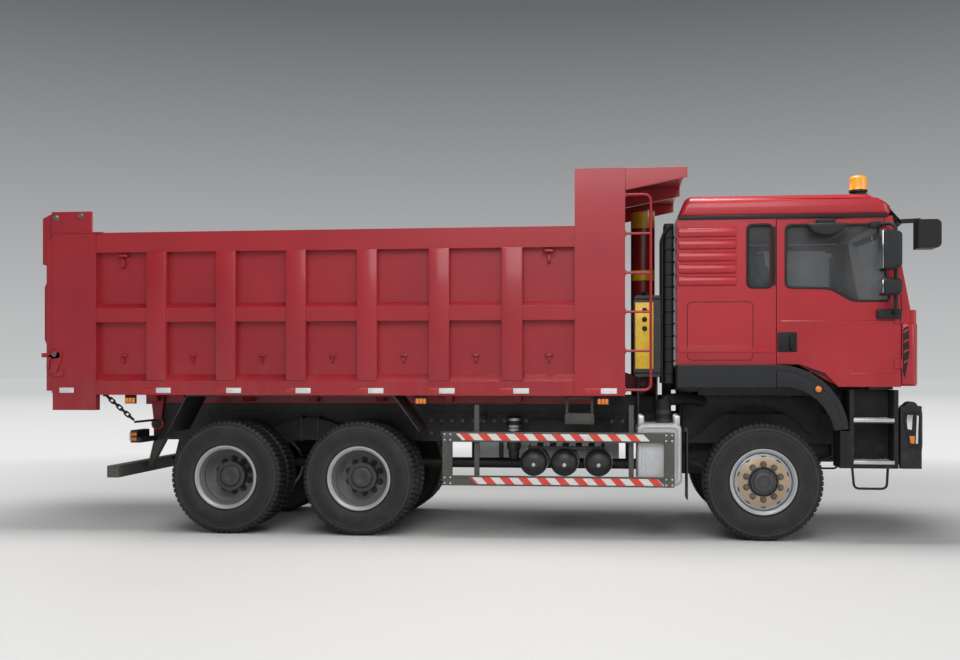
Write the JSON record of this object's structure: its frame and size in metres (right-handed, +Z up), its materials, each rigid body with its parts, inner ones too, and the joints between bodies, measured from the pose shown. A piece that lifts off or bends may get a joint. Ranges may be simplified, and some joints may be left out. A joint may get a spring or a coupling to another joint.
{
  "type": "dump truck",
  "caption": "Three-axle dump truck with a tilting cab, a high-sided ribbed bed lifted by a front hoist, a top-hung tailgate, steered front wheels and twin rear wheels.",
  "frame": {"origin": "on the ground, at the middle of the truck's length and width", "axes": "+X forward along the truck, +Y to its left, +Z up"},
  "size_m": [8.805, 2.9, 3.558],
  "materials": {
    "chassis_black": "satin black chassis paint",
    "body_red": "gloss red coach paint",
    "dark_plastic": "grained dark grey plastic",
    "clear_glass": "tinted safety glass",
    "amber_lens": "amber lens",
    "clear_lens": "clear lamp lens",
    "red_lens": "red lamp lens",
    "tyre_rubber": "black rubber",
    "rim_silver": "silver wheel paint",
    "box_grey": "light grey heat paint",
    "tank_alloy": "brushed alloy",
    "hoist_steel": "plated hoist tube",
    "hoist_paint": "black hoist paint with yellow bands",
    "guard_paint": "dark grey paint with red and white stripes",
    "trim_grey": "grey cab trim",
    "bare_steel": "worn bare steel"
  },
  "bodies": {
    "chassis": {"frame_rails": "chassis_black", "subframe": "chassis_black", "front_axle_beam": "chassis_black", "leaf_springs": "chassis_black", "rear_axles": "chassis_black", "power_train": "chassis_black", "fuel_tank": "tank_alloy", "exhaust_box": "box_grey", "ducts": "dark_plastic", "air_tanks": "chassis_black", "side_guards": "guard_paint", "rear_underrun": "chassis_black", "tail_lamps": "red_lens", "headlamps": "clear_lens", "bumper": "dark_plastic", "entry_steps": "dark_plastic", "oil_tank": "chassis_black", "cab_mounts": "chassis_black"},
    "bed": {"bed_floor": "body_red", "bed_side_right": "body_red", "bed_side_left": "body_red", "bed_headboard": "body_red", "bed_ladder": "body_red", "bed_mudguards": "chassis_black", "tailgate_hooks": "body_red", "pull_chains": "bare_steel"},
    "tailgate": {"tailgate": "body_red"},
    "hoist_base": {"hoist_base": "hoist_steel"},
    "hoist_stage_1": {"hoist_stage_1": "hoist_steel"},
    "hoist_stage_2": {"hoist_stage_2": "hoist_steel"},
    "hoist_cover": {"hoist_cover": "hoist_paint"},
    "cab": {"cab_body": "body_red", "cab_roof": "body_red", "cab_front": "body_red", "cab_glass": "clear_glass", "cab_interior": "trim_grey", "cab_trim": "dark_plastic", "beacons": "amber_lens", "front_fenders": "dark_plastic"},
    "door_right": {"door_right": "body_red", "door_glass_right": "clear_glass", "door_mirrors_right": "dark_plastic"},
    "knuckle_right": {"knuckle_right": "chassis_black"},
    "front_wheel_right": {"front_tyre_right": "tyre_rubber", "front_rim_right": "rim_silver"},
    "middle_wheels_right": {"middle_tyres_right": "tyre_rubber", "middle_rims_right": "rim_silver"},
    "rear_wheels_right": {"rear_tyres_right": "tyre_rubber", "rear_rims_right": "rim_silver"},
    "door_left": {"door_left": "body_red", "door_glass_left": "clear_glass", "door_mirrors_left": "dark_plastic"},
    "knuckle_left": {"knuckle_left": "chassis_black"},
    "front_wheel_left": {"front_tyre_left": "tyre_rubber", "front_rim_left": "rim_silver"},
    "middle_wheels_left": {"middle_tyres_left": "tyre_rubber", "middle_rims_left": "rim_silver"},
    "rear_wheels_left": {"rear_tyres_left": "tyre_rubber", "rear_rims_left": "rim_silver"},
    "tie_rod": {"tie_rod": "chassis_black"}
  },
  "joints": [
    {"name": "bed_tilt", "type": "hinge", "parent": "chassis", "child": "bed", "pos_m": [-3.4875, 0, 1.06], "axis": [0, -1, 0], "range_deg": [0, 46]},
    {"name": "tailgate_swing", "type": "hinge", "parent": "bed", "child": "tailgate", "pos_m": [-4.2375, 0, 3.165], "axis": [0, 1, 0], "range_deg": [0, 80]},
    {"name": "hoist_lean", "type": "hinge", "parent": "chassis", "child": "hoist_base", "pos_m": [1.6585, 0, 1.12], "axis": [0, -1, 0], "range_deg": [0, 25.52]},
    {"name": "hoist_slide_1", "type": "slide", "parent": "hoist_base", "child": "hoist_stage_1", "axis": [0, 0, 1], "range_m": [0, 1.3325]},
    {"name": "hoist_slide_2", "type": "slide", "parent": "hoist_stage_1", "child": "hoist_stage_2", "axis": [0, 0, 1], "range_m": [0, 1.3325]},
    {"name": "hoist_slide_3", "type": "slide", "parent": "hoist_stage_2", "child": "hoist_cover", "axis": [0, 0, 1], "range_m": [0, 1.3325]},
    {"name": "cab_tilt", "type": "hinge", "parent": "chassis", "child": "cab", "pos_m": [4.0075, 0, 1.4], "axis": [0, 1, 0], "range_deg": [0, 50]},
    {"name": "door_swing_right", "type": "hinge", "parent": "cab", "child": "door_right", "pos_m": [4.0245, -1.162, 1.895], "axis": [0, 0, 1], "range_deg": [0, 68]},
    {"name": "steer_right", "type": "hinge", "parent": "chassis", "child": "knuckle_right", "pos_m": [2.7625, -0.83, 0.5625], "axis": [0, 0, 1], "range_deg": [-38, 38]},
    {"name": "front_spin_right", "type": "hinge", "parent": "knuckle_right", "child": "front_wheel_right", "pos_m": [2.7625, -1.01, 0.5625], "axis": [0, 1, 0], "continuous": true},
    {"name": "middle_spin_right", "type": "hinge", "parent": "chassis", "child": "middle_wheels_right", "pos_m": [-1.1375, -0.915, 0.5625], "axis": [0, 1, 0], "continuous": true},
    {"name": "rear_spin_right", "type": "hinge", "parent": "chassis", "child": "rear_wheels_right", "pos_m": [-2.4875, -0.915, 0.5625], "axis": [0, 1, 0], "continuous": true},
    {"name": "door_swing_left", "type": "hinge", "parent": "cab", "child": "door_left", "pos_m": [4.0245, 1.162, 1.895], "axis": [0, 0, -1], "range_deg": [0, 68]},
    {"name": "steer_left", "type": "hinge", "parent": "chassis", "child": "knuckle_left", "pos_m": [2.7625, 0.83, 0.5625], "axis": [0, 0, 1], "range_deg": [-38, 38]},
    {"name": "front_spin_left", "type": "hinge", "parent": "knuckle_left", "child": "front_wheel_left", "pos_m": [2.7625, 1.01, 0.5625], "axis": [0, 1, 0], "continuous": true},
    {"name": "middle_spin_left", "type": "hinge", "parent": "chassis", "child": "middle_wheels_left", "pos_m": [-1.1375, 0.915, 0.5625], "axis": [0, 1, 0], "continuous": true},
    {"name": "rear_spin_left", "type": "hinge", "parent": "chassis", "child": "rear_wheels_left", "pos_m": [-2.4875, 0.915, 0.5625], "axis": [0, 1, 0], "continuous": true},
    {"name": "tie_rod_turn", "type": "hinge", "parent": "knuckle_left", "child": "tie_rod", "pos_m": [2.5475, 0.83, 0.427], "axis": [0, 0, 1], "range_deg": [-38, 38]}
  ],
  "couplings": [
    {"joint": "hoist_lean", "follows": "bed_tilt", "ratio": 0.55464},
    {"joint": "hoist_slide_1", "follows": "bed_tilt", "m_per_rad": 1.6592},
    {"joint": "hoist_slide_2", "follows": "bed_tilt", "m_per_rad": 1.6592},
    {"joint": "hoist_slide_3", "follows": "bed_tilt", "m_per_rad": 1.6592},
    {"joint": "steer_right", "follows": "steer_left", "ratio": 1},
    {"joint": "tie_rod_turn", "follows": "steer_left", "ratio": -1}
  ]
}
